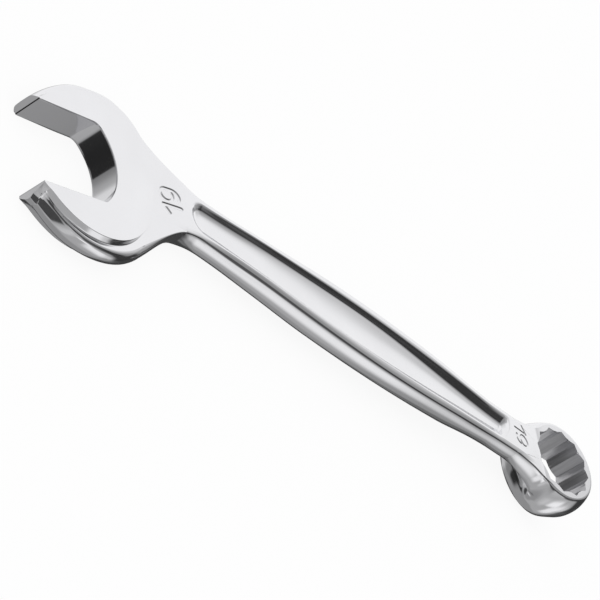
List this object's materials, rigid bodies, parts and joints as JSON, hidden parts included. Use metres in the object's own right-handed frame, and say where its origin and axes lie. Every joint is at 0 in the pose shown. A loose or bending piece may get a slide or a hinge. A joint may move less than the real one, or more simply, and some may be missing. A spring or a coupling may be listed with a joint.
{
  "type": "combination wrench",
  "caption": "Forged combination wrench: angled open jaw at one end, recessed shank, and a tilted ring with a star-shaped socket at the other.",
  "frame": {"origin": "axis of a nut seated in the open jaw, at half the jaw's thickness", "axes": "+X along the shank from the jaw to the ring, +Y across the shank towards the shorter jaw, +Z through the top face"},
  "size_m": [0.2258, 0.0413, 0.0173],
  "materials": {
    "chrome": "polished"
  },
  "bodies": {
    "root": {"open_end": "chrome", "shank": "chrome", "ring_end": "chrome"}
  },
  "joints": []
}
